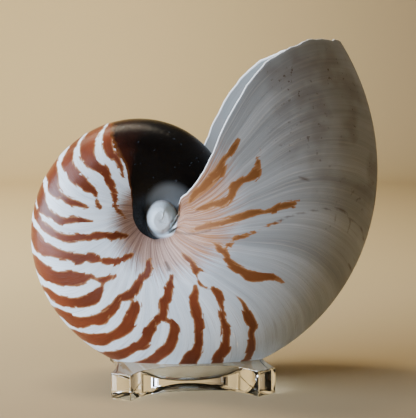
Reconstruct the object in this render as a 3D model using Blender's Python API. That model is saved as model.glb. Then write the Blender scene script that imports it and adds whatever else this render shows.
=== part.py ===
# Chambered nautilus shell, whole, resting keel down in the dish of a clear acrylic block.
#
# The shell grew along one equiangular spiral. Its surface is one half section, from the keel
# out over the flank and in to the umbilicus, carried round the coiling axis while it grows.
# The coiling axis lies along Y, the plane of symmetry is XZ, and the mouth opens upwards.
# Metres, +Z up, origin under the middle of the whole object.

import math

import bmesh
import bpy
from mathutils import Matrix, Vector

# The spiral
KEEL_RADIUS = 0.116          # coiling axis to the keel at the rim of the mouth
GROWTH = 0.18                # natural log of the growth in each radian of coiling
RIM_ANGLE = 43.1             # where the rim crosses the keel, in degrees above +X

# The half section, as shares of the keel radius
FLANK_RADIUS = 0.40          # radius of the widest part
HALF_WIDTH = 0.371           # half the width there
FULLNESS = 2.2               # 2 makes the keel an ellipse, more makes it squarer
TURN = 0.62                  # share of the way in at which the widest part lies
NAVEL_RADIUS = 0.075         # where the flank ends in the umbilicus
NAVEL_WIDTH = 0.20           # half the width there

# The rim: share of the way in from the keel, and degrees that the rim stands ahead there
RIM_SWING = (
    (0.00, 0.0),
    (0.15, 2.0),
    (0.30, 7.4),
    (0.45, 12.6),
    (0.55, 13.4),
    (0.70, 8.4),
    (0.80, 3.2),
    (0.90, -2.0),
    (0.96, -9.0),
    (1.00, -60.0),
)

# The living chamber
WALL = 0.0018                # wall at the mouth
SEPTUM_BEHIND = 125.0        # degrees from the rim back to the last partition
SEPTUM_DISH = 0.014          # how deep that partition is dished
INNER_COAT = 1.025           # the chamber's floor stands this much proud of the older coil

# The callus in the umbilicus
CALLUS_RADIUS = 0.0078
CALLUS_HALF = 0.0172

# The acrylic block
BLOCK_HALF_X = 0.0369
BLOCK_HALF_Y = 0.0360
BLOCK_HEIGHT = 0.0118
FRONT_SCOOP = 0.0120         # hollow of the front and back
SIDE_SCOOP = 0.0035          # hollow of the two sides
CORNER_X = 0.0085            # length of the flat cut across each corner, along X and Y
CORNER_Y = 0.0051
HOLLOW_POWER = 3.5           # the higher, the flatter a hollow's middle and the steeper its ends
BLOCK_TURN = 4.0             # degrees that the block is turned under the shell
BLOCK_X = 0.0144             # middle of the block from the coiling axis
BLOCK_Y = 0.0
KEEL_CLEAR = 0.0010          # lowest point of the keel over the underside of the block
REST_GAP = 0.0003

RING_STEP = 7.5              # degrees between two sections, so that the turns share theirs
POINTS = 17                  # points of a half section


def rim_swing(share):
    """Degrees that a growth line runs ahead of its start at the keel, smooth through the list."""
    knots = RIM_SWING
    last = len(knots) - 1
    k = 0
    while k < last - 1 and share > knots[k + 1][0]:
        k += 1
    x0, y0 = knots[k]
    x1, y1 = knots[k + 1]

    def slope(i):
        if i == 0:
            return 0.0
        low, high = max(i - 1, 0), min(i + 1, last)
        return (knots[high][1] - knots[low][1]) / (knots[high][0] - knots[low][0])

    run = x1 - x0
    u = (share - x0) / run
    a = 2 * u**3 - 3 * u**2 + 1
    b = u**3 - 2 * u**2 + u
    c = -2 * u**3 + 3 * u**2
    d = u**3 - u**2
    return a * y0 + b * run * slope(k) + c * y1 + d * run * slope(k + 1)


def half_section(share):
    """Radius and half width of the flank: 0 is the keel, 1 the edge of the umbilicus."""
    if share <= TURN:
        angle = share / TURN * math.pi / 2
        radius = FLANK_RADIUS + (1 - FLANK_RADIUS) * math.cos(angle) ** (2 / FULLNESS)
        width = HALF_WIDTH * math.sin(angle) ** (2 / FULLNESS)
        return radius, width
    inward = (share - TURN) / (1 - TURN)
    radius = FLANK_RADIUS + (NAVEL_RADIUS - FLANK_RADIUS) * inward
    width = HALF_WIDTH + (NAVEL_WIDTH - HALF_WIDTH) * inward**2
    return radius, width


def place(degrees, radius, width):
    """Point of a section that lies this many degrees from the rim, older parts below zero."""
    size = KEEL_RADIUS * math.exp(GROWTH * math.radians(degrees))
    angle = math.radians(RIM_ANGLE + degrees)
    return Vector((size * radius * math.cos(angle), size * width, size * radius * math.sin(angle)))


def outer_ring(floor):
    """Closed section of the solid coil, its inner side at a small radius."""
    side = [half_section(i / POINTS) for i in range(POINTS + 1)]
    ring = [(radius, -width) for radius, width in reversed(side[1:])]
    ring += [(radius, width) for radius, width in side]
    ring += [(floor, NAVEL_WIDTH * 0.55), (floor, -NAVEL_WIDTH * 0.55)]
    return ring


def chamber_ring():
    """Closed section of the living chamber: the flank less the wall, and the older coil."""
    wall = WALL / KEEL_RADIUS
    shares = [0.93 * i / 13 for i in range(14)]
    side = []
    for share in shares:
        before = Vector(half_section(max(share - 0.01, 0.0)))
        after = Vector(half_section(share + 0.01))
        here = Vector(half_section(share))
        run = (after - before).normalized()
        inward = Vector((-run.y, run.x))
        if share == 0.0:
            inward = Vector((-1.0, 0.0))
        if inward.dot(Vector((FLANK_RADIUS, 0.0)) - here) < 0:
            inward = -inward
        side.append(here + inward * wall)
    turn_back = math.exp(-2 * math.pi * GROWTH) * INNER_COAT
    floor = [Vector(half_section(0.60 * i / 7)) * turn_back for i in range(8)]
    ring = [(p.x, -p.y) for p in reversed(side[1:])]
    ring += [(p.x, p.y) for p in side]
    ring += [(p.x, p.y) for p in reversed(floor[1:])]
    ring += [(p.x, -p.y) for p in floor]
    return ring


def coil(name, first, last, ring, dish=0.0):
    """Solid swept from one angle to another; a dish rounds its older end outwards."""
    mesh = bmesh.new()
    steps = max(1, round(abs(first - last) / RING_STEP))
    rows = []
    for i in range(steps + 1):
        degrees = first + (last - first) * i / steps
        rows.append([mesh.verts.new(place(degrees, r, w)) for r, w in ring])
    if dish:
        centre = Vector((0.0, 0.0))
        for r, w in ring:
            centre += Vector((r, w)) / len(ring)
        back = math.degrees(dish / place(last, centre.x, 0.0).length)
        for k in (1, 2, 3):
            turn = math.radians(25 * k)
            row = []
            for r, w in ring:
                p = centre + (Vector((r, w)) - centre) * math.cos(turn)
                row.append(mesh.verts.new(place(last - back * math.sin(turn), p.x, p.y)))
            rows.append(row)
    count = len(ring)
    for low, high in zip(rows, rows[1:]):
        for j in range(count):
            k = (j + 1) % count
            mesh.faces.new((low[j], low[k], high[k], high[j]))
    mesh.faces.new(rows[0])
    mesh.faces.new(rows[-1])
    bmesh.ops.remove_doubles(mesh, verts=mesh.verts, dist=1e-6)
    bmesh.ops.triangulate(mesh, faces=mesh.faces)
    bmesh.ops.recalc_face_normals(mesh, faces=mesh.faces)
    return finish(mesh, name)


def finish(mesh, name):
    data = bpy.data.meshes.new(name)
    mesh.to_mesh(data)
    mesh.free()
    return bpy.data.objects.new(name, data)


def ahead_of_rim(name):
    """Everything ahead of the rim, as one outline seen from the side, carried through."""
    outline = [place(0.0, 1.25, 0.0)]
    for i in range(61):
        radius, _ = half_section(i / 60)
        outline.append(place(rim_swing(i / 60), radius, 0.0))
    outline.append(Vector((0.0, 0.0, 0.0)))
    for degrees in (170, 130, 90, 60):
        outline.append(Matrix.Rotation(math.radians(-degrees), 3, "Y") @ Vector((2.2 * KEEL_RADIUS, 0, 0)))
    cutter = plate(name, [(p.x, p.z) for p in outline], 2 * KEEL_RADIUS)
    cutter.data.transform(Matrix.Rotation(math.pi / 2, 4, "X"))
    return cutter


def callus(name):
    mesh = bmesh.new()
    bmesh.ops.create_uvsphere(mesh, u_segments=20, v_segments=12, radius=1.0)
    bmesh.ops.rotate(mesh, verts=mesh.verts, cent=(0, 0, 0), matrix=Matrix.Rotation(math.pi / 2, 3, "X"))
    bmesh.ops.scale(mesh, verts=mesh.verts, vec=(CALLUS_RADIUS, CALLUS_HALF, CALLUS_RADIUS))
    return finish(mesh, name)


def block_outline():
    """Plan of the block: a rectangle hollowed on four sides, with its corners cut flat."""
    sides = (
        (BLOCK_HALF_X - CORNER_X, BLOCK_HALF_Y, FRONT_SCOOP),
        (BLOCK_HALF_Y - CORNER_Y, BLOCK_HALF_X, SIDE_SCOOP),
        (BLOCK_HALF_X - CORNER_X, BLOCK_HALF_Y, FRONT_SCOOP),
        (BLOCK_HALF_Y - CORNER_Y, BLOCK_HALF_X, SIDE_SCOOP),
    )
    outline = []
    for number, (along, out, scoop) in enumerate(sides):
        facing = -math.pi / 2 + number * math.pi / 2
        normal = Vector((math.cos(facing), math.sin(facing)))
        run = Vector((-math.sin(facing), math.cos(facing)))
        for i in range(17):
            across = math.sin((i / 8 - 1) * math.pi / 2)
            depth = scoop * (1 - abs(across) ** HOLLOW_POWER)
            outline.append(normal * (out - depth) + run * along * across)
    return outline


def plate(name, outline, thickness):
    """Closed mesh of a flat outline in XY, its thickness shared between both sides."""
    curve = bpy.data.curves.new(name, "CURVE")
    curve.dimensions = "2D"
    curve.fill_mode = "BOTH"
    curve.extrude = thickness / 2
    spline = curve.splines.new("POLY")
    spline.points.add(len(outline) - 1)
    for point, (x, y) in zip(spline.points, outline):
        point.co = (x, y, 0.0, 1.0)
    spline.use_cyclic_u = True
    drawn = bpy.data.objects.new(name, curve)
    bpy.context.scene.collection.objects.link(drawn)
    bpy.context.view_layer.update()
    graph = bpy.context.evaluated_depsgraph_get()
    data = bpy.data.meshes.new_from_object(drawn.evaluated_get(graph))
    bpy.data.objects.remove(drawn, do_unlink=True)
    mesh = bmesh.new()
    mesh.from_mesh(data)
    bmesh.ops.remove_doubles(mesh, verts=mesh.verts, dist=1e-6)
    bmesh.ops.recalc_face_normals(mesh, faces=mesh.faces)
    mesh.to_mesh(data)
    mesh.free()
    return bpy.data.objects.new(name, data)


def paint(piece, name, colour, roughness, transmission=0.0, ior=1.5):
    material = bpy.data.materials.new(name)
    material.use_nodes = True
    shader = material.node_tree.nodes["Principled BSDF"]
    shader.inputs["Base Color"].default_value = (*colour, 1.0)
    shader.inputs["Roughness"].default_value = roughness
    shader.inputs["Transmission Weight"].default_value = transmission
    shader.inputs["IOR"].default_value = ior
    piece.data.materials.clear()
    piece.data.materials.append(material)


def combine(piece, tool, operation):
    modifier = piece.modifiers.new(tool.name, "BOOLEAN")
    modifier.operation = operation
    modifier.object = tool
    modifier.solver = "EXACT"


def as_tool(tool, collection):
    collection.objects.link(tool)
    tool.hide_render = True
    tool.display_type = "WIRE"
    return tool


for old in list(bpy.data.objects):
    bpy.data.objects.remove(old, do_unlink=True)

model = bpy.data.collections.new("nautilus_shell_on_stand")
tools = bpy.data.collections.new("cutters")
bpy.context.scene.collection.children.link(model)
bpy.context.scene.collection.children.link(tools)

# The shell: the front half of the last turn is hollowed by the living chamber and trimmed at
# the rim, then the older, solid-looking turns and the callus are joined to it.
shell = coil("nautilus_shell", 25.0, -200.0, outer_ring(0.07))
model.objects.link(shell)
chamber = as_tool(coil("chamber", 33.0, -SEPTUM_BEHIND, chamber_ring(), SEPTUM_DISH), tools)
ahead = as_tool(ahead_of_rim("ahead_of_the_rim"), tools)
older = as_tool(coil("older_turns", -192.5, -432.5, outer_ring(0.07)), tools)
boss = as_tool(callus("callus"), tools)
combine(shell, chamber, "DIFFERENCE")
combine(shell, ahead, "DIFFERENCE")
combine(shell, older, "UNION")
combine(shell, boss, "UNION")
paint(shell, "shell_porcelain", (0.62, 0.61, 0.58), 0.35)

# The block, dished to the shape of the shell that stands in it, with a hair's gap all round.
stand = plate("acrylic_stand", block_outline(), BLOCK_HEIGHT)
model.objects.link(stand)
hollow = coil("dish", -30.0, -225.0, outer_ring(0.07))
shape = bmesh.new()
shape.from_mesh(hollow.data)
shape.normal_update()
for vert in shape.verts:
    vert.co += vert.normal * REST_GAP * 1.15
shape.to_mesh(hollow.data)
shape.free()
as_tool(hollow, tools)
combine(stand, hollow, "DIFFERENCE")
paint(stand, "clear_acrylic", (1.0, 1.0, 1.0), 0.03, 1.0, 1.49)

# Everything is made around the coiling axis; one frame carries it to its place, so that the
# block stands on the ground and the middle of the whole object is over the origin.
frame = bpy.data.objects.new("nautilus_frame", None)
model.objects.link(frame)
keel = [place(-d / 4, 1.0, 0.0).z for d in range(200, 900)]
axis_height = KEEL_CLEAR - min(keel)
turned = Matrix.Rotation(math.radians(BLOCK_TURN), 4, "Z")
lift = BLOCK_HEIGHT / 2 - axis_height
stand.data.transform(Matrix.Translation((BLOCK_X, BLOCK_Y, lift)) @ turned)
for piece in (shell, stand, chamber, ahead, older, boss, hollow):
    piece.parent = frame
bpy.context.view_layer.update()
graph = bpy.context.evaluated_depsgraph_get()
corners = []
for piece in (shell, stand):
    solid = piece.evaluated_get(graph).to_mesh()
    corners += [vert.co.copy() for vert in solid.vertices]
low = Vector([min(c[i] for c in corners) for i in range(3)])
high = Vector([max(c[i] for c in corners) for i in range(3)])
frame.location = (-(low.x + high.x) / 2, -(low.y + high.y) / 2, -low.z)

for piece in (shell, stand):
    piece.data.shade_smooth()
    piece.data.set_sharp_from_angle(angle=math.radians(35))
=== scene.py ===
import math

import bmesh
import bpy
import numpy as np
from mathutils import Matrix, Vector


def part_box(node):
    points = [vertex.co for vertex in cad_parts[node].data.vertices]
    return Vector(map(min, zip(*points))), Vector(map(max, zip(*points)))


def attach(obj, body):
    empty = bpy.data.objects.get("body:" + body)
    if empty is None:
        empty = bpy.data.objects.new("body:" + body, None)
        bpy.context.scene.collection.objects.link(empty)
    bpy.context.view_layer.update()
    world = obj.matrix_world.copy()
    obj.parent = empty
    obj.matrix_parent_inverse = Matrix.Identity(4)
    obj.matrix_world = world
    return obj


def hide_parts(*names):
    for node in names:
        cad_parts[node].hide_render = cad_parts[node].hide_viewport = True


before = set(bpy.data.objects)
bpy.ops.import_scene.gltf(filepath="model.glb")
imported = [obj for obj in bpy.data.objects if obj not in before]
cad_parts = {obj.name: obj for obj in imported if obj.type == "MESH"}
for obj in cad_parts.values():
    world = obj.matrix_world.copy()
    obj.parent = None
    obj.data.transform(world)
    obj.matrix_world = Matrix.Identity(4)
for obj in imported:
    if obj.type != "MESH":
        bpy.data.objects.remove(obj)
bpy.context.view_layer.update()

# The shell: the hard calcium carbonate shell of a chambered nautilus, laid down line by line at
# its lip, so that every part of it is the same arched section, only larger. It coils in one
# plane round an axis along Y, and the newest part is at the mouth, which opens upwards here.
KEEL_RADIUS = 0.116          # coiling axis to the keel at the lip
GROWTH = 0.18                # natural log of the growth in each radian of coiling
LIP_ANGLE = 43.1             # where the lip crosses the keel, in degrees above +X
FLANK_RADIUS = 0.40          # radius of the widest part, as a share of the keel radius
HALF_WIDTH = 0.371
FULLNESS = 2.2
WIDEST = 0.62                # share of the way in at which the widest part lies
NAVEL_RADIUS = 0.075
NAVEL_WIDTH = 0.20
LIP_LEAD = ((0.0, 0.0), (0.15, 2.0), (0.30, 7.4), (0.45, 12.6), (0.55, 13.4), (0.70, 8.4),
            (0.80, 3.2), (0.90, -2.0), (0.96, -9.0), (1.00, -60.0), (1.25, -100.0))
POLE = 1.25                  # share at which a growth line ends on the coiling axis


def smooth_step(value, low, high):
    u = np.clip((value - low) / (high - low), 0.0, 1.0)
    return u * u * (3 - 2 * u)


def lip_lead(share):
    """Degrees that a growth line runs ahead of its start on the keel, smooth through LIP_LEAD."""
    knots = np.array(LIP_LEAD)
    xs, ys = knots[:, 0], knots[:, 1]
    slopes = np.empty(len(xs))
    slopes[1:-1] = (ys[2:] - ys[:-2]) / (xs[2:] - xs[:-2])
    slopes[0] = 0.0
    slopes[-1] = (ys[-1] - ys[-2]) / (xs[-1] - xs[-2])
    k = np.clip(np.searchsorted(xs, share) - 1, 0, len(xs) - 2)
    run = xs[k + 1] - xs[k]
    u = (share - xs[k]) / run
    return ((2 * u**3 - 3 * u**2 + 1) * ys[k] + (u**3 - 2 * u**2 + u) * run * slopes[k]
            + (3 * u**2 - 2 * u**3) * ys[k + 1] + (u**3 - u**2) * run * slopes[k + 1])


def half_section(share):
    """Radius and half width of the section at a share of the way from the keel to the axis."""
    bend = np.clip(share / WIDEST, 0.0, 1.0) * math.pi / 2
    radius = FLANK_RADIUS + (1 - FLANK_RADIUS) * np.maximum(np.cos(bend), 0.0) ** (2 / FULLNESS)
    width = HALF_WIDTH * np.sin(bend) ** (2 / FULLNESS)
    inward = np.clip((share - WIDEST) / (1 - WIDEST), 0.0, 1.0)
    radius = np.where(share > WIDEST, FLANK_RADIUS + (NAVEL_RADIUS - FLANK_RADIUS) * inward, radius)
    width = np.where(share > WIDEST, HALF_WIDTH + (NAVEL_WIDTH - HALF_WIDTH) * inward**2, width)
    past = np.clip((share - 1.0) / (POLE - 1.0), 0.0, 1.0)
    return radius * (1 - past), width * (1 - 0.5 * past**2)


def on_shell(turn, share):
    """Point on the outer surface: turn in degrees back from the lip, share 0 at the keel,
    positive on the side towards -Y. Measured from the coiling axis."""
    across = np.abs(share)
    ahead = np.radians(lip_lead(across) - turn)
    size = KEEL_RADIUS * np.exp(GROWTH * ahead)
    angle = math.radians(LIP_ANGLE) + ahead
    radius, width = half_section(across)
    return np.stack([size * radius * np.cos(angle), -np.sign(share) * size * width,
                     size * radius * np.sin(angle)], -1)


# The axis lies where the modelled solid's keel is lowest and its coil reaches furthest to -X.
solid_low, solid_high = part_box("nautilus_shell")
keel_line = on_shell(np.arange(0.0, 360.0, 0.5), np.zeros(720))
AXIS = Vector((solid_low.x - keel_line[:, 0].min(), (solid_low.y + solid_high.y) / 2,
               solid_low.z - keel_line[:, 2].min()))

# One skin, from the old coil forward to the lip, rolled over it, back down the living chamber
# as its lining, and across the last partition. Each row of it is one growth line, and its rows
# lie closest where the markings are.
LIP_EDGE = 0.0011            # thickness of the lip
WALL = 0.0019                # thickness of the wall behind it
CHAMBER_TURN = 126.0         # degrees from the lip back to the last partition
OLD_END = CHAMBER_TURN + 372.0       # where the skin of the old coil ends, out of sight
ROW_RUNS = ((OLD_END, 352.0, 3.0), (352.0, 88.0, 0.95), (88.0, 0.4, 1.3))    # from, to, apart
LINING_APART = 2.5           # degrees
FULL_WALL_TURN = 14.0        # degrees behind the lip
PARTITION_ROWS = 39
COLUMNS = 156
COLUMN_EVEN = 0.86           # 1 would space them evenly, and less draws them to the keel
outer_turns = np.concatenate([np.arange(start, end, -apart) for start, end, apart in ROW_RUNS] + [[0.0]])
roll = np.radians(np.arange(30.0, 181.0, 30.0))
lining_turns = np.concatenate([[0.5, 1.2], np.arange(LINING_APART, CHAMBER_TURN, LINING_APART),
                               [CHAMBER_TURN]])
partition = np.linspace(0.0, 1.0, PARTITION_ROWS + 1)[1:]

row_turn = np.concatenate([outer_turns, 0 * roll, lining_turns, 0 * partition + CHAMBER_TURN])
row_depth = np.concatenate([0 * outer_turns, LIP_EDGE / 2 * (1 - np.cos(roll)),
                            LIP_EDGE + (WALL - LIP_EDGE) * smooth_step(lining_turns, 0.0, FULL_WALL_TURN),
                            0 * partition + WALL])
row_ahead = np.concatenate([0 * outer_turns, LIP_EDGE / 2 * np.sin(roll), 0 * lining_turns,
                            0 * partition])
row_across = np.concatenate([0 * outer_turns, 0 * roll, 0 * lining_turns, partition])
row_inside = np.concatenate([0 * outer_turns, smooth_step(roll, 1.2, 2.4), 0 * lining_turns + 1,
                             0 * partition + 1])
row_lip_highlight = np.concatenate([0 * outer_turns, 0 * roll + 1, 0 * lining_turns, 0 * partition])

half_columns = np.linspace(0.0, 1.0, COLUMNS // 2 + 1)
half_shares = POLE * (COLUMN_EVEN * half_columns + (1 - COLUMN_EVEN) * half_columns**3)
column_share = np.concatenate([-half_shares[:0:-1], half_shares])

grid = bmesh.new()
bmesh.ops.create_grid(grid, x_segments=COLUMNS, y_segments=len(row_turn) - 1, size=1.0)
shell_mesh = bpy.data.meshes.new("nautilus_shell_skin")
grid.to_mesh(shell_mesh)
grid.free()
flat = np.empty(len(shell_mesh.vertices) * 3)
shell_mesh.vertices.foreach_get("co", flat)
flat = flat.reshape(-1, 3)
column = np.rint((flat[:, 0] + 1) / 2 * COLUMNS).astype(int)
row = np.rint((flat[:, 1] + 1) / 2 * (len(row_turn) - 1)).astype(int)

# Small wear sets the lip back and makes it a little uneven: waves of a few sizes along it.
LIP_WAVES = ((0.16, 37.0, 1.0), (0.12, 83.0, 0.0), (0.08, 151.0, 2.0))     # degrees, pitch, start
LIP_SETBACK = 0.30           # degrees
LIP_WEAR_DEPTH = 2.0         # degrees back in which the wear dies out
LIP_WEAR_END = 0.95          # share at which it stops, before the navel

share = column_share[column]
uneven = sum(high * np.sin(share * pitch + start) for high, pitch, start in LIP_WAVES)
worn = np.exp(-row_turn[row] / LIP_WEAR_DEPTH) * (np.abs(share) < LIP_WEAR_END)
turn = row_turn[row] + (uneven + LIP_SETBACK) * worn
skin = on_shell(turn, share)
ahead = on_shell(turn - 0.1, share) - skin
sideways = on_shell(turn, share + 0.002) - skin
normal = np.cross(ahead, sideways)
normal /= np.linalg.norm(normal, axis=1, keepdims=True) + 1e-12
ahead /= np.linalg.norm(ahead, axis=1, keepdims=True) + 1e-12
# Towards the axis the wall turns to face along Y, and it thins out where it turns.
near_axis = smooth_step(np.abs(share), 1.02, 1.12)[:, None]
along_axis = np.stack([0 * share, -np.sign(share), 0 * share], -1)
normal = (normal * (1 - near_axis) - along_axis * near_axis) * (1 - 2 * near_axis)
point = skin - normal * row_depth[row][:, None] + ahead * row_ahead[row][:, None] * (1 - near_axis)

# The callus, a low flat-topped pad of the shell's own stuff that closes the navel on each side.
# Inside it every growth line has the pad's height, and round it the flank runs up in a fillet.
CALLUS_CENTRE = (0.0024, -0.0013)    # from the coiling axis
CALLUS_NARROW = 1.2          # how many times taller than wide it is
CALLUS_TOP = 0.0040          # half height of its flat top
CALLUS_RADIUS = 0.0094       # half height over all
CALLUS_HEIGHT = 0.0184       # from the plane of the coil out to its top
CALLUS_DROP = 0.0062         # from its top down to its rim
CALLUS_SINK = 0.02           # from its rim out, well below the flank
CALLUS_FILLET = 0.0009
OLD_COIL_DROP = 0.004        # that the old coil lies under the pad, away from its middle
OLD_SKIN_DROP = 0.0003       # that the old skin lies under the new one in its middle

reach = np.hypot((point[:, 0] - CALLUS_CENTRE[0]) * CALLUS_NARROW, point[:, 2] - CALLUS_CENTRE[1])
pad_height = (CALLUS_HEIGHT - CALLUS_DROP * smooth_step(reach, CALLUS_TOP, CALLUS_RADIUS)
              - CALLUS_SINK * smooth_step(reach, 0.8 * CALLUS_RADIUS, 1.6 * CALLUS_RADIUS))
pad_top = pad_height - OLD_SKIN_DROP * smooth_step(turn, 358.0, 364.0)
pad_height = pad_height - OLD_COIL_DROP * smooth_step(turn, 361.0, 370.0)
pad_height = np.where(row_inside[row] > 0, 0.0, pad_height)
side_height = np.abs(point[:, 1])
lift = np.clip(0.5 + (pad_height - side_height) / (2 * CALLUS_FILLET), 0.0, 1.0)
raised = side_height * (1 - lift) + pad_height * lift + CALLUS_FILLET * lift * (1 - lift)
in_pad = 1 - smooth_step(reach, 0.80 * CALLUS_RADIUS, 1.0 * CALLUS_RADIUS)
pad_floor = np.minimum(raised, pad_top - WALL)
raised = np.where(row_inside[row] > 0, raised * (1 - in_pad) + pad_floor * in_pad,
                  raised * (1 - in_pad) + np.maximum(pad_top, 0.0) * in_pad)
point[:, 1] = np.sign(share) * -raised

# The last partition, a dished wall between the lining and the old coil, with the short neck of
# the breathing tube through its middle.
PARTITION_DISH = 9.5         # degrees that its middle lies further back than its rim
FLOOR_SHARE = 0.5            # how much of the old coil's width it stands on
FLOOR_SINK = 0.985           # it ends just inside the old coil
TUBE_ACROSS = (0.42, 0.46)   # share of the way across the partition between which the tube lies
TUBE_NECK = (0.0006, 0.0024) # radius of the tube, and of the foot of its neck
TUBE_DEPTH = 6.0             # degrees that the neck runs back
FAR_AWAY = 0.03              # a distance past which a mark has no effect

across = row_across[row]
floor_share = share * FLOOR_SHARE
floor = on_shell(np.full_like(share, CHAMBER_TURN + 360.0), floor_share) * FLOOR_SINK
radius_in, radius_floor = np.hypot(point[:, 0], point[:, 2]), np.hypot(floor[:, 0], floor[:, 2])
angle_in = LIP_ANGLE + lip_lead(np.abs(share)) - CHAMBER_TURN
angle_floor = LIP_ANGLE + lip_lead(np.abs(floor_share)) - CHAMBER_TURN
dish = PARTITION_DISH * 4 * across * (1 - across) * (1 - (np.abs(share) / POLE) ** 3)
radius = radius_in + (radius_floor - radius_in) * across
width = point[:, 1] + (floor[:, 1] - point[:, 1]) * across
tube_radius = radius[(across > TUBE_ACROSS[0]) & (across < TUBE_ACROSS[1])].mean()
from_tube = np.where(across > 0, np.hypot(radius - tube_radius, width), FAR_AWAY)
dish = dish + TUBE_DEPTH * (1 - smooth_step(from_tube, *TUBE_NECK))
angle = np.radians(angle_in + (angle_floor - angle_in) * across - dish)
wall_point = np.stack([radius * np.cos(angle), width, radius * np.sin(angle)], -1)
point = np.where(across[:, None] > 0, wall_point, point)

shell_mesh.vertices.foreach_set("co", (point + np.array(AXIS)).ravel())

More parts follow.
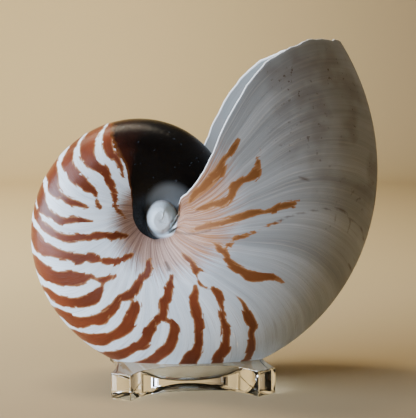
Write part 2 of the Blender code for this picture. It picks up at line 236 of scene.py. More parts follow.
# The markings of the living animal: rust-brown flame stripes that start on the keel and run in
# over the flank, laid down with the shell. Each is a line of (turn, share, half width in mm).
STRIPES = (
    ((287, 0.00, 1.6), (288, 0.30, 2.4), (289, 0.41, 2.2), (292, 0.44, 1.9), (293, 0.50, 1.4),
     (289, 0.57, 0.9)),
    ((280, 0.00, 4.5), (279, 0.06, 4.5), (274, 0.25, 3.8), (274, 0.36, 3.0), (277, 0.44, 2.4),
     (279, 0.48, 2.3), (277, 0.53, 1.8), (273, 0.57, 2.0), (268, 0.60, 1.5), (260, 0.64, 1.1),
     (249, 0.68, 1.2), (238, 0.75, 1.0), (227, 0.81, 0.7)),
    ((268, 0.00, 3.4), (263, 0.16, 2.6), (260, 0.21, 3.4), (260, 0.29, 2.8), (260, 0.36, 3.0),
     (261, 0.43, 3.0), (261, 0.48, 2.7), (261, 0.52, 1.8), (256, 0.55, 1.1), (251, 0.57, 1.3),
     (247, 0.59, 1.2)),
    ((249, 0.00, 5.0), (248, 0.08, 5.0), (247, 0.20, 3.5), (245, 0.26, 3.3), (245, 0.31, 2.5),
     (246, 0.37, 1.5), (246, 0.43, 1.9), (247, 0.47, 1.7), (247, 0.52, 1.3)),
    ((236, 0.00, 3.6), (235, 0.12, 4.2), (233, 0.20, 3.4), (233, 0.27, 2.5), (233, 0.36, 1.9),
     (233, 0.42, 1.8), (236, 0.48, 1.7), (235, 0.53, 1.0), (234, 0.57, 0.3)),
    ((229, 0.00, 2.4), (228, 0.06, 2.2), (226, 0.16, 2.5), (225, 0.25, 2.0), (224, 0.38, 2.0),
     (223, 0.44, 2.1), (223, 0.51, 1.9), (221, 0.56, 1.6), (220, 0.59, 2.2), (217, 0.63, 1.5),
     (211, 0.69, 2.0), (205, 0.75, 1.7), (197, 0.80, 1.2)),
    ((217, 0.00, 4.2), (216, 0.13, 4.4), (215, 0.19, 4.6), (214, 0.26, 3.8), (214, 0.32, 3.2),
     (213, 0.39, 2.4), (212, 0.44, 1.9), (209, 0.48, 3.1), (208, 0.52, 1.8), (205, 0.55, 2.3),
     (200, 0.58, 1.4), (195, 0.60, 1.6), (188, 0.63, 1.8), (183, 0.68, 1.4), (176, 0.74, 1.2),
     (171, 0.77, 0.6)),
    ((203, 0.00, 3.6), (203, 0.10, 4.0), (202, 0.18, 4.5), (201, 0.28, 3.8), (200, 0.34, 3.4),
     (199, 0.41, 3.8), (197, 0.46, 2.7), (196, 0.50, 1.5), (192, 0.52, 1.1), (188, 0.54, 1.9),
     (185, 0.57, 1.4), (182, 0.59, 0.7)),
    ((187, 0.54, 1.2), (185, 0.51, 1.0)),
    ((191, 0.00, 1.6), (191, 0.16, 2.2), (190, 0.19, 3.4), (188, 0.25, 2.8), (187, 0.30, 2.6),
     (186, 0.36, 2.6), (185, 0.41, 3.1), (184, 0.45, 3.1), (185, 0.49, 2.3), (185, 0.52, 1.1)),
    ((180, 0.00, 3.0), (180, 0.16, 3.0), (178, 0.20, 4.0), (176, 0.26, 3.9), (175, 0.34, 2.8),
     (173, 0.39, 3.2), (173, 0.44, 2.3), (172, 0.49, 2.2), (172, 0.53, 1.5), (167, 0.56, 2.0),
     (163, 0.59, 2.3), (161, 0.62, 1.9), (156, 0.67, 1.9), (149, 0.73, 2.2), (147, 0.78, 1.3),
     (145, 0.81, 0.6)),
    ((168, 0.00, 3.6), (168, 0.12, 3.9), (165, 0.22, 3.6), (164, 0.27, 3.9), (163, 0.34, 2.6),
     (162, 0.39, 2.9), (161, 0.44, 3.4), (161, 0.48, 3.3), (160, 0.52, 2.7), (160, 0.54, 2.5)),
    ((124, 0.72, 1.1), (128, 0.69, 0.9), (133, 0.64, 1.8), (137, 0.60, 2.4), (141, 0.58, 2.5),
     (142, 0.55, 2.5), (143, 0.53, 2.5), (148, 0.50, 1.8), (149, 0.47, 2.6), (150, 0.43, 2.7),
     (150, 0.38, 3.3), (152, 0.34, 2.4), (153, 0.27, 3.0), (154, 0.14, 4.0), (155, 0.00, 4.0)),
    ((143, 0.52, 2.1), (139, 0.51, 1.6), (137, 0.48, 2.6), (138, 0.44, 2.8), (139, 0.38, 2.8),
     (141, 0.33, 2.8), (143, 0.24, 2.8), (144, 0.11, 4.4), (144, 0.00, 4.8)),
    ((114, 0.62, 0.9), (117, 0.60, 1.6), (121, 0.58, 2.3), (123, 0.54, 2.8), (124, 0.51, 2.1),
     (125, 0.47, 2.2), (126, 0.44, 2.2), (126, 0.39, 2.3), (127, 0.34, 3.2), (128, 0.30, 3.7),
     (130, 0.00, 4.0)),
    ((109, 0.61, 0.4), (107, 0.60, 0.5), (105, 0.58, 1.8), (108, 0.55, 2.1), (111, 0.52, 1.1),
     (112, 0.50, 1.7), (113, 0.47, 1.3), (113, 0.44, 2.2), (114, 0.40, 2.4), (115, 0.34, 2.6),
     (117, 0.29, 2.7), (118, 0.00, 2.6)),
    ((100, 0.54, 0.7), (100, 0.51, 1.2), (101, 0.48, 1.6), (102, 0.44, 2.3), (102, 0.40, 2.0),
     (104, 0.37, 1.7), (104, 0.32, 1.6), (105, 0.22, 2.4), (107, 0.00, 1.8)),
    ((96, 0.83, 0.8), (97, 0.79, 1.3), (99, 0.75, 1.5), (102, 0.71, 1.7), (106, 0.68, 0.5),
     (109, 0.64, 0.6), (110, 0.62, 0.7), (112, 0.61, 0.3)),
    ((101, 0.71, 0.9), (98, 0.67, 0.2)),
    ((66, 0.80, 0.1), (69, 0.76, 0.6), (73, 0.72, 1.9), (77, 0.68, 1.7), (82, 0.64, 1.5),
     (85, 0.61, 1.9), (86, 0.58, 2.1), (87, 0.56, 2.8), (85, 0.53, 2.5), (83, 0.51, 1.7),
     (82, 0.48, 1.0), (82, 0.44, 0.3)),
    ((74, 0.69, 1.2), (68, 0.68, 1.0), (64, 0.67, 1.1), (63, 0.64, 1.3), (61, 0.61, 1.1),
     (59, 0.59, 0.5), (57, 0.57, 0.3), (56, 0.54, 0.2)),
    ((59, 0.90, 0.6), (53, 0.85, 1.1), (50, 0.81, 1.5), (49, 0.76, 1.4), (49, 0.68, 1.8),
     (49, 0.62, 1.7), (50, 0.59, 1.1), (50, 0.57, 1.5), (49, 0.55, 2.0), (49, 0.52, 1.8),
     (48, 0.50, 1.0)),
    ((24, 0.90, 0.5), (28, 0.85, 1.3), (29, 0.80, 1.5), (32, 0.76, 2.1), (31, 0.72, 1.5),
     (27, 0.69, 2.0), (27, 0.65, 1.4), (29, 0.61, 2.3), (27, 0.60, 2.2), (24, 0.59, 1.4),
     (21, 0.58, 0.9), (17, 0.58, 0.3)),
    ((15, 0.92, 0.6), (8, 0.88, 1.7), (8, 0.83, 1.7), (8, 0.79, 2.0), (11, 0.74, 2.2),
     (10, 0.71, 1.8), (9, 0.68, 1.2), (10, 0.65, 1.3), (10, 0.62, 1.4), (9, 0.60, 0.5)),
)
# Marks of age on the body: the line of an older lip, fine cracks, a chip and dark scratches.
DARK_MARKS = (
    ((57, 0.57, 0.15), (54, 0.52, 0.12), (52, 0.46, 0.10), (51, 0.43, 0.12), (49, 0.35, 0.12),
     (50, 0.30, 0.12), (50, 0.22, 0.10), (52, 0.14, 0.08)),
    ((51, 0.37, 0.16), (54, 0.37, 0.10), (57, 0.40, 0.04)),
    ((51, 0.29, 0.14), (53, 0.29, 0.10), (55, 0.30, 0.03)),
    ((61, 0.21, 0.30), (60.5, 0.14, 0.15), (60, 0.07, 0.30)),
    ((39, 0.50, 0.12), (40, 0.48, 0.20), (41, 0.46, 0.05)),
    ((19, 0.48, 0.30), (19.5, 0.475, 0.15)),
    ((78, 0.98, 0.10), (65, 0.89, 0.14), (58, 0.83, 0.10), (55, 0.80, 0.04)),
    ((124, 0.80, 0.35), (124, 0.76, 0.45), (126, 0.75, 0.20)),
)
SCRATCHES = (((111, 0.42, 0.10), (110, 0.36, 0.22), (109, 0.30, 0.08)),)
NEWEST_WHORL = 356.0         # degrees back to which the markings are drawn
LINE_REACH = 0.016           # distance from a line within which the skin is measured
THINNEST = 0.05              # half width in mm
FAR_SIDE_DRIFT = 1.5         # degrees by which the far side's stripes differ from the near ones
FAR_SIDE_WIDENING = 0.12


def drawn_line(knots):
    """Points along a marking, evenly rounded through its knots, with the half width at each."""
    knots = np.array(knots, float)
    ends = np.concatenate([[2 * knots[0] - knots[1]], knots, [2 * knots[-1] - knots[-2]]])
    steps = np.arange(0.0, 1.0, 0.2)[:, None]
    runs = []
    for a, b, c, d in zip(ends, ends[1:], ends[2:], ends[3:]):
        runs.append(0.5 * (2 * b + (c - a) * steps + (2 * a - 5 * b + 4 * c - d) * steps**2
                           + (3 * b - a - 3 * c + d) * steps**3))
    runs.append(knots[-1:])
    return np.concatenate(runs)


def distance_to(places, line, half):
    """Distance in metres from each place to the edge of a line that is 2 * half wide."""
    best = np.full(len(places), FAR_AWAY)
    for start, end, thin, thick in zip(line, line[1:], half, half[1:]):
        near = np.where(((places - start) ** 2).sum(1) < LINE_REACH**2)[0]
        if len(near) == 0:
            continue
        run = end - start
        along = np.clip(((places[near] - start) @ run) / (run @ run + 1e-15), 0.0, 1.0)
        gap = np.linalg.norm(places[near] - start - along[:, None] * run, axis=1)
        best[near] = np.minimum(best[near], gap - thin - (thick - thin) * along)
    return best


skin_only = (row_inside[row] == 0) & (turn < NEWEST_WHORL)
marked = np.where(skin_only)[0]
edges = {}
chance = np.random.default_rng(8)
for name, lines in (("stripe_edge", STRIPES), ("dark_edge", DARK_MARKS), ("scratch_edge", SCRATCHES)):
    edges[name] = np.full(len(share), FAR_AWAY)
    for knots in lines:
        line = drawn_line(knots)
        for side in (1.0, -1.0):
            drift = chance.normal(0.0, 1.0) * (side < 0)
            turns = line[:, 0] + drift * FAR_SIDE_DRIFT * smooth_step(line[:, 1], 0.0, 0.4)
            wide = line[:, 2] * (1 + FAR_SIDE_WIDENING * drift)
            places = on_shell(turns, np.maximum(line[:, 1], 0.0) * side)
            half = np.maximum(wide, THINNEST) / 1000
            edges[name][marked] = np.minimum(edges[name][marked], distance_to(skin[marked], places, half))

# A thin black film, with a rusty margin, that the hood leaves on the coil before the mouth. Its
# edge is given as (share, turn), and each place gets its distance from it along the coil.
FILM_START = ((0.0, 286.5), (0.28, 290.0), (0.38, 291.5), (0.43, 295.0), (0.51, 296.0), (0.57, 293.0),
              (0.63, 285.0), (0.69, 280.0), (0.78, 264.0), (0.85, 242.0), (0.90, 203.0), (0.93, 159.0),
              (0.945, 110.0), (0.96, 60.0), (0.975, 0.0), (1.25, -30.0))
start_shares, start_turns = np.array(FILM_START).T
film_start = np.interp(np.abs(share), start_shares, start_turns)
degree = KEEL_RADIUS * np.exp(-GROWTH * np.radians(turn)) * math.radians(1.0)
film_edge = np.clip((film_start - turn) * degree, -FAR_AWAY, FAR_AWAY)

# What the material reads: distances in mm, the turn in degrees, and shares.
HALO_CENTRE = (0.0060, 0.0050)       # of the pale halo, from the coiling axis
from_halo = np.hypot(point[:, 0] - HALO_CENTRE[0], point[:, 2] - HALO_CENTRE[1])
marks = {"stripe_edge": edges["stripe_edge"] * 1000, "dark_edge": edges["dark_edge"] * 1000,
         "scratch_edge": edges["scratch_edge"] * 1000, "film_edge": film_edge * 1000, "turn": turn,
         "share": share, "lining": row_inside[row], "lip": row_lip_highlight[row], "callus": reach * 1000,
         "halo": from_halo * 1000, "tube": from_tube * 1000}
for name, values in marks.items():
    layer = shell_mesh.attributes.new(name, "FLOAT", "POINT")
    layer.data.foreach_set("value", values.astype(np.float32))

tidy = bmesh.new()
tidy.from_mesh(shell_mesh)
bmesh.ops.remove_doubles(tidy, verts=tidy.verts, dist=1e-6)
bmesh.ops.recalc_face_normals(tidy, faces=tidy.faces)
tidy.to_mesh(shell_mesh)
tidy.free()
shell_mesh.shade_smooth()
shell = bpy.data.objects.new("nautilus_shell_grown", shell_mesh)
bpy.context.scene.collection.objects.link(shell)


def linear(text):
    """An sRGB hex colour as the linear colour that a shader takes."""
    parts = [int(text[i:i + 2], 16) / 255 for i in (1, 3, 5)]
    return tuple(c / 12.92 if c <= 0.04045 else ((c + 0.055) / 1.055) ** 2.4 for c in parts) + (1.0,)


def add_node(tree, kind, sockets=(), **settings):
    """Adds a node and returns it. Settings are its properties; sockets are pairs of an input's
    name or number and a value, a hex colour, an output, or a node whose one output is used."""
    node = tree.nodes.new(kind)
    for key, value in settings.items():
        setattr(node, key, value)
    for key, value in sockets:
        if isinstance(value, bpy.types.Node):
            value = next(output for output in value.outputs if output.enabled)
        if isinstance(value, bpy.types.NodeSocket):
            tree.links.new(value, node.inputs[key])
        else:
            node.inputs[key].default_value = linear(value) if isinstance(value, str) else value
    return node


# Porcellanous outer layer, naturally pigmented: dense white aragonite with a soft satin gloss,
# fine growth lines side by side, rust-brown stripes with a thin ochre rim, a black organic film
# before the mouth, and pearly nacre inside. The eye gets a soft white with colour along its lines.
# Noise on (turn, share) follows the growth lines, so its sizes here are those at the lip.
FINE_LINE = 0.92             # mm apart; the real ones, a third of that, are too fine to show
BOLD_LINE = 1.84             # mm
BROAD_BAND = 12.65           # mm
BLOTCH = 22.2                # mm
GRAIN = 1.11                 # mm, and coarser than the real grain for the same reason
lip_degree = 1000 * KEEL_RADIUS * math.radians(1.0)      # mm of keel in one degree at the lip

material = bpy.data.materials.new("nautilus_porcelain_grown_and_striped")
material.use_nodes = True
tree = material.node_tree
tree.nodes.clear()
MATH, MIX, NOISE, RANGE = "ShaderNodeMath", "ShaderNodeMix", "ShaderNodeTexNoise", "ShaderNodeMapRange"
seen = {name: add_node(tree, "ShaderNodeAttribute", attribute_name=name).outputs["Fac"] for name in marks}
side = add_node(tree, MATH, [(0, seen["share"])], operation="ABSOLUTE")
place = add_node(tree, "ShaderNodeTexCoord").outputs["Object"]
stretch = add_node(tree, MATH, [(0, seen["share"]), (1, 2.2)], operation="MULTIPLY")
growth = add_node(tree, "ShaderNodeCombineXYZ", [("X", seen["turn"]), ("Y", stretch)])
fine_lines = add_node(tree, NOISE, [("Vector", growth), ("Scale", lip_degree / FINE_LINE),
                                    ("Detail", 5.0), ("Roughness", 0.68)])
bold_lines = add_node(tree, NOISE, [("Vector", growth), ("Scale", lip_degree / BOLD_LINE),
                                    ("Detail", 4.0), ("Roughness", 0.7)])
broad_bands = add_node(tree, NOISE, [("Vector", growth), ("Scale", lip_degree / BROAD_BAND), ("Detail", 3.0)])
blotches = add_node(tree, NOISE, [("Vector", place), ("Scale", 1000 / BLOTCH), ("Detail", 4.0)])
grains = add_node(tree, NOISE, [("Vector", place), ("Scale", 1000 / GRAIN), ("Detail", 3.0),
                                ("Roughness", 0.6)])

# White of the coil, greyer and duller on the body chamber, both drawn over with growth lines.
coil_bands = add_node(tree, RANGE, [("Value", broad_bands), ("From Min", 0.35), ("From Max", 0.68)])
white = add_node(tree, MIX, [(0, coil_bands), (6, "#CFDDE9"), (7, "#E8F4FE")], data_type="RGBA")
body_bands = add_node(tree, RANGE, [("Value", broad_bands), ("From Min", 0.30), ("From Max", 0.70)])
body = add_node(tree, MIX, [(0, body_bands), (6, "#8F9599"), (7, "#B6BFC6")], data_type="RGBA")
newer = add_node(tree, RANGE, [("Value", seen["turn"]), ("From Min", 60.0), ("From Max", 135.0)],
                 interpolation_type="SMOOTHSTEP")
whorl = add_node(tree, MIX, [(0, newer), (6, body), (7, white)], data_type="RGBA")
dark_lines = add_node(tree, RANGE, [("Value", fine_lines), ("From Min", 0.52), ("From Max", 0.64),
                                    ("To Max", 0.48)])
whorl = add_node(tree, MIX, [(0, dark_lines), (6, whorl), (7, "#85878A")], data_type="RGBA")
light_lines = add_node(tree, RANGE, [("Value", bold_lines), ("From Min", 0.52), ("From Max", 0.62),
                                     ("To Max", 0.26)])
on_flank = add_node(tree, RANGE, [("Value", side), ("From Min", 0.18), ("From Max", 0.50), ("To Min", 0.25)])
light_lines = add_node(tree, MATH, [(0, light_lines), (1, on_flank)], operation="MULTIPLY")
whorl = add_node(tree, MIX, [(0, light_lines), (6, whorl), (7, "#EEF2F4")], data_type="RGBA")

# Worn rosy layer round the navel, in fine brown lines that run into it, and ochre mottles by
# the mouth.
NAVEL_LINE = 4.82            # mm
OCHRE_MOTTLE = 4.05          # mm
navel_noise = add_node(tree, MATH, [(0, fine_lines), (1, 0.50), (2, side)], operation="MULTIPLY_ADD")
navel_noise = add_node(tree, MATH, [(0, blotches), (1, 0.16), (2, navel_noise)], operation="MULTIPLY_ADD")
rosy = add_node(tree, RANGE, [("Value", navel_noise), ("From Min", 0.98), ("From Max", 1.12),
                              ("To Max", 0.92)], interpolation_type="SMOOTHSTEP")
rays = add_node(tree, NOISE, [("Vector", growth), ("Scale", lip_degree / NAVEL_LINE),
                              ("Detail", 6.0), ("Roughness", 0.85)])
rays = add_node(tree, RANGE, [("Value", rays), ("From Min", 0.45), ("From Max", 0.57), ("To Max", 0.9)])
rosy_tone = add_node(tree, MIX, [(0, rays), (6, "#BE9C8A"), (7, "#6E412A")], data_type="RGBA")
whorl = add_node(tree, MIX, [(0, rosy), (6, whorl), (7, rosy_tone)], data_type="RGBA")
ochre_noise = add_node(tree, NOISE, [("Vector", growth), ("Scale", lip_degree / OCHRE_MOTTLE),
                                     ("Detail", 4.0), ("Roughness", 0.7)])
ochre = add_node(tree, RANGE, [("Value", ochre_noise), ("From Min", 0.47), ("From Max", 0.56),
                               ("To Max", 0.85)])
ochre_in = add_node(tree, RANGE, [("Value", side), ("From Min", 0.60), ("From Max", 0.78)])
ochre_new = add_node(tree, RANGE, [("Value", seen["turn"]), ("From Min", 110.0), ("From Max", 80.0)])
ochre = add_node(tree, MATH, [(0, ochre), (1, ochre_in)], operation="MULTIPLY")
ochre = add_node(tree, MATH, [(0, ochre), (1, ochre_new)], operation="MULTIPLY")
whorl = add_node(tree, MIX, [(0, ochre), (6, whorl), (7, "#A06A38")], data_type="RGBA")

# Stripes: each growth line carries its colour a little further or less far than the last, so
# their edges are ragged along the lines.
RAGGED_STEP = 5.95           # mm along the coil
RAGGED_CELLS = 20.0          # across it, in one share
cell_turn = add_node(tree, MATH, [(0, seen["turn"]), (1, lip_degree / RAGGED_STEP)], operation="MULTIPLY")
cell_share = add_node(tree, MATH, [(0, seen["share"]), (1, RAGGED_CELLS)], operation="MULTIPLY")
cells = add_node(tree, "ShaderNodeCombineXYZ", [("X", cell_turn), ("Y", cell_share)])
steps = add_node(tree, "ShaderNodeTexVoronoi", [("Vector", cells), ("Scale", 1.0), ("Randomness", 0.9)])
ragged = add_node(tree, "ShaderNodeRGBToBW", [("Color", steps.outputs["Color"])])
edge = add_node(tree, MATH, [(0, ragged), (1, 1.5), (2, -0.75)], operation="MULTIPLY_ADD")
edge = add_node(tree, MATH, [(0, edge), (1, seen["stripe_edge"])], operation="ADD")
grain_shift = add_node(tree, MATH, [(0, grains), (1, 0.7), (2, -0.35)], operation="MULTIPLY_ADD")
edge = add_node(tree, MATH, [(0, edge), (1, grain_shift)], operation="ADD")
tone = add_node(tree, RANGE, [("Value", blotches), ("From Min", 0.35), ("From Max", 0.65)])
brown = add_node(tree, MIX, [(0, tone), (6, "#5C2A17"), (7, "#763A22")], data_type="RGBA")
brown = add_node(tree, MIX, [(0, dark_lines), (6, brown), (7, "#552A1A")], data_type="RGBA")
thin = add_node(tree, RANGE, [("Value", seen["turn"]), ("From Min", 120.0), ("From Max", 60.0),
                              ("To Max", 0.75)])
brown = add_node(tree, MIX, [(0, thin), (6, brown), (7, "#86592F")], data_type="RGBA")
rim = add_node(tree, RANGE, [("Value", edge), ("From Min", -0.9), ("From Max", 0.0)])
stripe = add_node(tree, MIX, [(0, rim), (6, brown), (7, "#A87A50")], data_type="RGBA")
striped = add_node(tree, RANGE, [("Value", edge), ("From Min", 0.18), ("From Max", -0.18)])
whorl = add_node(tree, MIX, [(0, striped), (6, whorl), (7, stripe)], data_type="RGBA")

# Age: dark cracks and an older lip, one pale scratch, and by the mouth specks of dirt in patches.
# Over the same patches, by the mouth and towards the keel, the colour is darkened by painted shade.
SPECK = 1.92                 # mm
DIRTY_PATCH = 16.7           # mm
cracked = add_node(tree, RANGE, [("Value", seen["dark_edge"]), ("From Min", 0.75), ("From Max", 0.0),
                                 ("To Max", 0.62)])
whorl = add_node(tree, MIX, [(0, cracked), (6, whorl), (7, "#4A3629")], data_type="RGBA")
scratched = add_node(tree, RANGE, [("Value", seen["scratch_edge"]), ("From Min", 0.35), ("From Max", 0.0)])
whorl = add_node(tree, MIX, [(0, scratched), (6, whorl), (7, "#F4F4F2")], data_type="RGBA")
speck_noise = add_node(tree, NOISE, [("Vector", place), ("Scale", 1000 / SPECK), ("Detail", 2.0)])
speck_patch = add_node(tree, NOISE, [("Vector", place), ("Scale", 1000 / DIRTY_PATCH), ("Detail", 2.0)])
specks = add_node(tree, RANGE, [("Value", speck_noise), ("From Min", 0.64), ("From Max", 0.70),
                                ("To Max", 0.75)])
patch = add_node(tree, RANGE, [("Value", speck_patch), ("From Min", 0.46), ("From Max", 0.60)])
outer_band = add_node(tree, RANGE, [("Value", side), ("From Min", 0.58), ("From Max", 0.42)])
by_mouth = add_node(tree, RANGE, [("Value", seen["turn"]), ("From Min", 52.0), ("From Max", 36.0)])
specks = add_node(tree, MATH, [(0, specks), (1, patch)], operation="MULTIPLY")
specks = add_node(tree, MATH, [(0, specks), (1, outer_band)], operation="MULTIPLY")
specks = add_node(tree, MATH, [(0, specks), (1, by_mouth)], operation="MULTIPLY")
whorl = add_node(tree, MIX, [(0, specks), (6, whorl), (7, "#4E3E31")], data_type="RGBA")
# Painted shade: a dull darkening over the dirt's patches by the mouth, towards the keel.
painted_shade_by_mouth = add_node(tree, MATH, [(0, outer_band), (1, by_mouth)], operation="MULTIPLY")
painted_shade_by_mouth = add_node(tree, MATH, [(0, painted_shade_by_mouth), (1, patch)], operation="MULTIPLY")
painted_shade_by_mouth = add_node(tree, MATH, [(0, painted_shade_by_mouth), (1, 0.40)], operation="MULTIPLY")
whorl = add_node(tree, MIX, [(0, painted_shade_by_mouth), (6, whorl), (7, "#6E6459")], data_type="RGBA")

# Film: ochre at its very edge, red-brown and mottled where it starts near the keel, then black,
# with a pale halo round the callus, which stays bare.
FILM_MOTTLE = 5.26           # mm
film_noise = add_node(tree, NOISE, [("Vector", place), ("Scale", 1000 / FILM_MOTTLE), ("Detail", 5.0),
                                    ("Roughness", 0.6)])
film = add_node(tree, MATH, [(0, film_noise), (1, 9.0), (2, -4.5)], operation="MULTIPLY_ADD")
margin = add_node(tree, RANGE, [("Value", side), ("From Min", 0.30), ("From Max", 0.62), ("To Min", 1.0),
                                ("To Max", 0.15)])
film = add_node(tree, MATH, [(0, film), (1, margin), (2, seen["film_edge"])], operation="MULTIPLY_ADD")
depth = add_node(tree, MATH, [(0, margin), (1, -18.0), (2, -0.6)], operation="MULTIPLY_ADD")
blackness = add_node(tree, RANGE, [("Value", film), ("From Min", -1.5), ("From Max", depth)])
rust = add_node(tree, MIX, [(0, tone), (6, "#3A170C"), (7, "#180A07")], data_type="RGBA")
first_film = add_node(tree, RANGE, [("Value", film), ("From Min", -2.6), ("From Max", 0.0), ("To Max", 0.8)])
rust = add_node(tree, MIX, [(0, first_film), (6, rust), (7, "#754521")], data_type="RGBA")
film_colour = add_node(tree, MIX, [(0, blackness), (6, rust), (7, "#070607")], data_type="RGBA")
pad_noise = add_node(tree, MATH, [(0, blotches), (1, 1.6), (2, seen["callus"])], operation="MULTIPLY_ADD")
pad = add_node(tree, RANGE, [("Value", pad_noise), ("From Min", 9.6), ("From Max", 8.6)])
halo = add_node(tree, RANGE, [("Value", seen["halo"]), ("From Min", 12.5), ("From Max", 7.5),
                              ("To Max", 0.55)], interpolation_type="SMOOTHSTEP")
film_colour = add_node(tree, MIX, [(0, halo), (6, film_colour), (7, "#8D959C")], data_type="RGBA")
dust = add_node(tree, RANGE, [("Value", speck_noise), ("From Min", 0.70), ("From Max", 0.74), ("To Max", 0.5)])
film_colour = add_node(tree, MIX, [(0, dust), (6, film_colour), (7, "#46505E")], data_type="RGBA")
bare = add_node(tree, MATH, [(0, 1.0), (1, pad)], operation="SUBTRACT")
filmed = add_node(tree, RANGE, [("Value", film), ("From Min", 0.3), ("From Max", -0.3)])
filmed = add_node(tree, MATH, [(0, filmed), (1, bare)], operation="MULTIPLY")
colour = add_node(tree, MIX, [(0, filmed), (6, whorl), (7, film_colour)], data_type="RGBA")
colour = add_node(tree, MIX, [(0, pad), (6, colour), (7, "#E2F3FF")], data_type="RGBA")

# Inside: nacre with a faint play of rose and green, painted a dull grey for the shade inside the chamber, and
# a dark mouth to the breathing tube.
PEARL_CLOUD = 33.3           # mm
pearl_noise = add_node(tree, NOISE, [("Vector", place), ("Scale", 1000 / PEARL_CLOUD), ("Detail", 2.0)])
pearl_tone = add_node(tree, RANGE, [("Value", pearl_noise), ("From Min", 0.35), ("From Max", 0.65)])
# Painted shade: the nacre is a dull grey, as it looks in the shade of the chamber.
nacre_in_painted_shade = add_node(tree, MIX, [(0, pearl_tone), (6, "#948E8D"), (7, "#878F8E")], data_type="RGBA")
tube = add_node(tree, RANGE, [("Value", seen["tube"]), ("From Min", 1.4), ("From Max", 0.8)])
nacre_in_painted_shade = add_node(tree, MIX, [(0, tube), (6, nacre_in_painted_shade), (7, "#3A2A20")], data_type="RGBA")
colour = add_node(tree, MIX, [(0, seen["lining"]), (6, colour), (7, nacre_in_painted_shade)], data_type="RGBA")
# Painted highlight: the rolled edge of the lip is painted a bright white, as where the light catches it.
colour = add_node(tree, MIX, [(0, seen["lip"]), (6, colour), (7, "#E3E7E8")], data_type="RGBA")

# Relief of a quarter of a millimetre at most, in the growth lines alone. The coil has more gloss
# than the worn body, and the film a little more.
bump_height = add_node(tree, MATH, [(0, broad_bands), (1, 1.6)], operation="MULTIPLY")
bump_height = add_node(tree, MATH, [(0, fine_lines), (1, 0.9), (2, bump_height)], operation="MULTIPLY_ADD")
bump_height = add_node(tree, MATH, [(0, bold_lines), (1, 0.8), (2, bump_height)], operation="MULTIPLY_ADD")
bump = add_node(tree, "ShaderNodeBump", [("Height", bump_height), ("Strength", 0.45), ("Distance", 0.00025)])
satin = add_node(tree, RANGE, [("Value", seen["turn"]), ("From Min", 60.0), ("From Max", 150.0),
                               ("To Min", 0.52), ("To Max", 0.29)])
roughness = add_node(tree, MATH, [(0, filmed), (1, -0.05), (2, satin)], operation="MULTIPLY_ADD")
surface = add_node(tree, "ShaderNodeBsdfPrincipled", [("Base Color", colour), ("Roughness", roughness),
                                                     ("Specular IOR Level", 0.22), ("Normal", bump),
                                                     ("IOR", 1.53)])
add_node(tree, "ShaderNodeOutputMaterial", [("Surface", surface)])
shell.data.materials.append(material)
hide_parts("nautilus_shell")
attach(shell, "root")

# The stand: one block of clear cast acrylic, sawn square with hollowed sides and cut corners,
# dished on top to take the shell's keel, and flame polished until every face is like glass.
BLOCK_HALF_X = 0.0369
BLOCK_HALF_Y = 0.0360
FRONT_SCOOP = 0.0120         # depth of the hollows in the front and back
SIDE_SCOOP = 0.0035
CORNER_X = 0.0085            # what each corner cut takes off along the front
CORNER_Y = 0.0051
HOLLOW_POWER = 3.5           # 2 would be a parabola, and more is flatter with steeper ends
HOLLOW_STEPS = 48
BLOCK_TURN = math.radians(4.0)
BLOCK_CENTRE = (0.0144, 0.0) # from the coiling axis
DISH_REACH = (0.066, 0.0300, 0.040)  # half axes of the ellipsoid that it is part of
DISH_CLEAR = 0.0005          # from the keel to the dish
POLISHED_EDGE = 0.0004
CUT_EDGE = math.radians(20)  # a sharper turn than this is an edge of the saw, which gets polished
SHOWN_EDGE = math.radians(8) # and after that a sharper one than this is shaded as an edge

block_low, block_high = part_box("acrylic_stand")
block = bmesh.new()
corners = []
for number in range(4):
    along, out, scoop = ((BLOCK_HALF_X - CORNER_X, BLOCK_HALF_Y, FRONT_SCOOP),
                         (BLOCK_HALF_Y - CORNER_Y, BLOCK_HALF_X, SIDE_SCOOP))[number % 2]
    facing = (number - 1) * math.pi / 2
    outward = Vector((math.cos(facing), math.sin(facing), 0.0))
    run = Vector((-math.sin(facing), math.cos(facing), 0.0))
    for i in range(HOLLOW_STEPS + 1):
        across = 2 * i / HOLLOW_STEPS - 1
        depth = scoop * (1 - abs(across) ** HOLLOW_POWER)
        corners.append(outward * (out - depth) + run * along * across)
plan = block.faces.new([block.verts.new(corner) for corner in corners])
walls = bmesh.ops.extrude_face_region(block, geom=[plan])
top = [v for v in walls["geom"] if isinstance(v, bmesh.types.BMVert)]
bmesh.ops.translate(block, verts=top, vec=(0, 0, block_high.z - block_low.z))
bmesh.ops.recalc_face_normals(block, faces=block.faces)
rims = [edge for edge in block.edges if edge.calc_face_angle() > CUT_EDGE]
bmesh.ops.bevel(block, geom=rims, offset=POLISHED_EDGE, offset_type="OFFSET", segments=3,
                profile=0.5, affect="EDGES", material=-1, clamp_overlap=True)
bmesh.ops.rotate(block, verts=block.verts, cent=(0, 0, 0), matrix=Matrix.Rotation(BLOCK_TURN, 3, "Z"))
bmesh.ops.translate(block, verts=block.verts,
                    vec=(AXIS.x + BLOCK_CENTRE[0], AXIS.y + BLOCK_CENTRE[1], block_low.z))
block_mesh = bpy.data.meshes.new("acrylic_block")
block.to_mesh(block_mesh)
block.free()
stand = bpy.data.objects.new("acrylic_block_polished", block_mesh)
bpy.context.scene.collection.objects.link(stand)

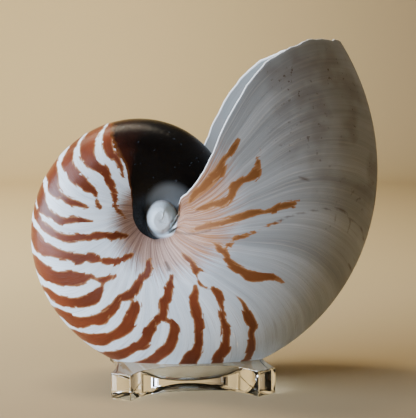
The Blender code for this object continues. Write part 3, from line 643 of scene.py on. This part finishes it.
# The dish is sunk by an ellipsoid under the lowest point of the keel.
keel_foot = keel_line[np.argmin(keel_line[:, 2])]
dish = bmesh.new()
bmesh.ops.create_uvsphere(dish, u_segments=160, v_segments=80, radius=1.0)
bmesh.ops.scale(dish, verts=dish.verts, vec=DISH_REACH)
bmesh.ops.translate(dish, verts=dish.verts,
                    vec=(AXIS.x + keel_foot[0], AXIS.y, solid_low.z - DISH_CLEAR + DISH_REACH[2]))
dish_mesh = bpy.data.meshes.new("dish")
dish.to_mesh(dish_mesh)
dish.free()
dish_tool = bpy.data.objects.new("dish", dish_mesh)
bpy.context.scene.collection.objects.link(dish_tool)
cut = stand.modifiers.new("dish", "BOOLEAN")
cut.operation = "DIFFERENCE"
cut.object = dish_tool
cut.solver = "EXACT"
bpy.context.view_layer.update()
finished = bpy.data.meshes.new_from_object(stand.evaluated_get(bpy.context.evaluated_depsgraph_get()))
stand.modifiers.clear()
stand.data = finished
bpy.data.objects.remove(dish_tool, do_unlink=True)
stand.data.shade_smooth()
stand.data.set_sharp_from_angle(angle=SHOWN_EDGE)

# Clear cast acrylic, polished: nearly colourless, it bends light less than glass does, lets it
# through to the shell and the floor below, and shows the shell again in its faces.
acrylic = bpy.data.materials.new("clear_cast_acrylic_flame_polished")
acrylic.use_nodes = True
clear = acrylic.node_tree
clear.nodes.clear()
polished = add_node(clear, "ShaderNodeBsdfPrincipled", [("Base Color", "#FDFDFC"), ("Roughness", 0.02),
                                                       ("IOR", 1.49), ("Transmission Weight", 1.0)])
lit_through = add_node(clear, "ShaderNodeBsdfTransparent", [("Color", "#F6F6F2")])
light_ray = add_node(clear, "ShaderNodeLightPath").outputs["Is Shadow Ray"]
passing = add_node(clear, "ShaderNodeMixShader", [(0, light_ray), (1, polished), (2, lit_through)])
tint = add_node(clear, "ShaderNodeVolumeAbsorption", [("Color", "#F4F6EF"), ("Density", 2.0)])
add_node(clear, "ShaderNodeOutputMaterial", [("Surface", passing), ("Volume", tint)])
stand.data.materials.clear()
stand.data.materials.append(acrylic)
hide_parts("acrylic_stand")
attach(stand, "root")

# A plain warm paper floor that curves up into a wall all round, a large soft window of light
# from the left, a weaker one over the back, a dim ceiling for the acrylic to show, and the camera.
FLOOR_RADIUS = 1.10
WALL_CURVE = 0.30
WALL_TOP = 2.00
FLOOR_DROP = 0.0003          # just below the block, so that the two faces don't meet
sweep = bmesh.new()
middle = sweep.verts.new((0.0, 0.0, -FLOOR_DROP))
start = sweep.verts.new((FLOOR_RADIUS, 0.0, -FLOOR_DROP))
sweep.edges.new((middle, start))
curved = bmesh.ops.spin(sweep, geom=[start], cent=(FLOOR_RADIUS, 0.0, WALL_CURVE - FLOOR_DROP),
                        axis=(0, -1, 0), angle=math.pi / 2, steps=12)
foot = [v for v in curved["geom_last"] if isinstance(v, bmesh.types.BMVert)][0]
top = sweep.verts.new((foot.co.x, 0.0, WALL_TOP))
sweep.edges.new((foot, top))
bmesh.ops.remove_doubles(sweep, verts=sweep.verts, dist=1e-6)
bmesh.ops.spin(sweep, geom=sweep.verts[:] + sweep.edges[:], cent=(0, 0, 0), axis=(0, 0, 1), angle=2 * math.pi,
               steps=72, use_merge=True)
bmesh.ops.remove_doubles(sweep, verts=sweep.verts, dist=1e-6)
bmesh.ops.recalc_face_normals(sweep, faces=sweep.faces)
sweep_mesh = bpy.data.meshes.new("paper_sweep")
sweep.to_mesh(sweep_mesh)
sweep.free()
sweep_mesh.shade_smooth()
ground = bpy.data.objects.new("paper_sweep", sweep_mesh)
bpy.context.scene.collection.objects.link(ground)

# Uncoated paper, smooth and without gloss: a plain warm tone with painted shade that darkens it to the
# right, away from the window, and a little darker towards the camera.
paper = bpy.data.materials.new("warm_matt_paper")
paper.use_nodes = True
paper_tree = paper.node_tree
paper_tree.nodes.clear()
spread = add_node(paper_tree, "ShaderNodeTexCoord")
across_floor = add_node(paper_tree, "ShaderNodeSeparateXYZ", [("Vector", spread.outputs["Object"])])
painted_shade_to_right = add_node(paper_tree, RANGE, [("Value", across_floor.outputs["X"]), ("From Min", -0.25),
                                      ("From Max", 0.75)], interpolation_type="SMOOTHSTEP")
warm = add_node(paper_tree, MIX, [(0, painted_shade_to_right), (6, "#CDB98C"), (7, "#897A60")], data_type="RGBA")
nearer = add_node(paper_tree, RANGE, [("Value", across_floor.outputs["Y"]), ("From Min", 0.35),
                                      ("From Max", -0.15), ("To Max", 0.75)], interpolation_type="SMOOTHSTEP")
warm = add_node(paper_tree, MIX, [(0, nearer), (6, warm), (7, "#8F7C62")], data_type="RGBA")
matt = add_node(paper_tree, "ShaderNodeBsdfPrincipled", [("Base Color", warm), ("Roughness", 0.95),
                                                         ("Specular IOR Level", 0.1)])
add_node(paper_tree, "ShaderNodeOutputMaterial", [("Surface", matt)])
sweep_mesh.materials.append(paper)

world = bpy.data.worlds.new("soft_room_light")
world.use_nodes = True
world.node_tree.nodes["Background"].inputs["Color"].default_value = linear("#E9D9C2")
world.node_tree.nodes["Background"].inputs["Strength"].default_value = 0.03
bpy.context.scene.world = world

# Each lamp by its name, place, aim, size, watts and tint.
for name, place_at, aim, size, power, tint in (
        ("window_left", (-0.95, -0.28, 0.28), (0.0, 0.02, 0.07), (0.80, 0.54), 36.0, "#DCEAFF"),
        ("window_back", (-0.45, 0.25, 1.00), (-0.1, 1.2, 0.10), (0.90, 0.30), 17.0, "#FFF0D4"),
        ("pale_ceiling", (0.0, 0.0, 1.90), (0.0, 0.0, 0.0), (2.60, 2.60), 8.0, "#F6EDE0")):
    lamp = bpy.data.lights.new(name, "AREA")
    lamp.shape = "RECTANGLE"
    lamp.size, lamp.size_y = size
    lamp.energy = power
    lamp.color = linear(tint)[:3]
    light = bpy.data.objects.new(name, lamp)
    light.location = place_at
    light.rotation_euler = (Vector(aim) - Vector(place_at)).to_track_quat("-Z", "Y").to_euler()
    bpy.context.scene.collection.objects.link(light)

CAMERA_PLACE = Vector((0.00588, -0.44915, 0.05356))      # from the coiling axis
CAMERA_SWING = math.radians(-2.313)
CAMERA_TILT = math.radians(6.576)
CAMERA_LENS = 83.08
back = Vector((math.sin(CAMERA_SWING) * math.cos(CAMERA_TILT),
               -math.cos(CAMERA_SWING) * math.cos(CAMERA_TILT), math.sin(CAMERA_TILT)))
lens = bpy.data.cameras.new("camera")
lens.sensor_width = 36.0
lens.lens = CAMERA_LENS
camera = bpy.data.objects.new("camera", lens)
camera.location = AXIS + CAMERA_PLACE
camera.rotation_mode = "QUATERNION"
camera.rotation_quaternion = (-back).to_track_quat("-Z", "Y")
bpy.context.scene.collection.objects.link(camera)
bpy.context.scene.camera = camera
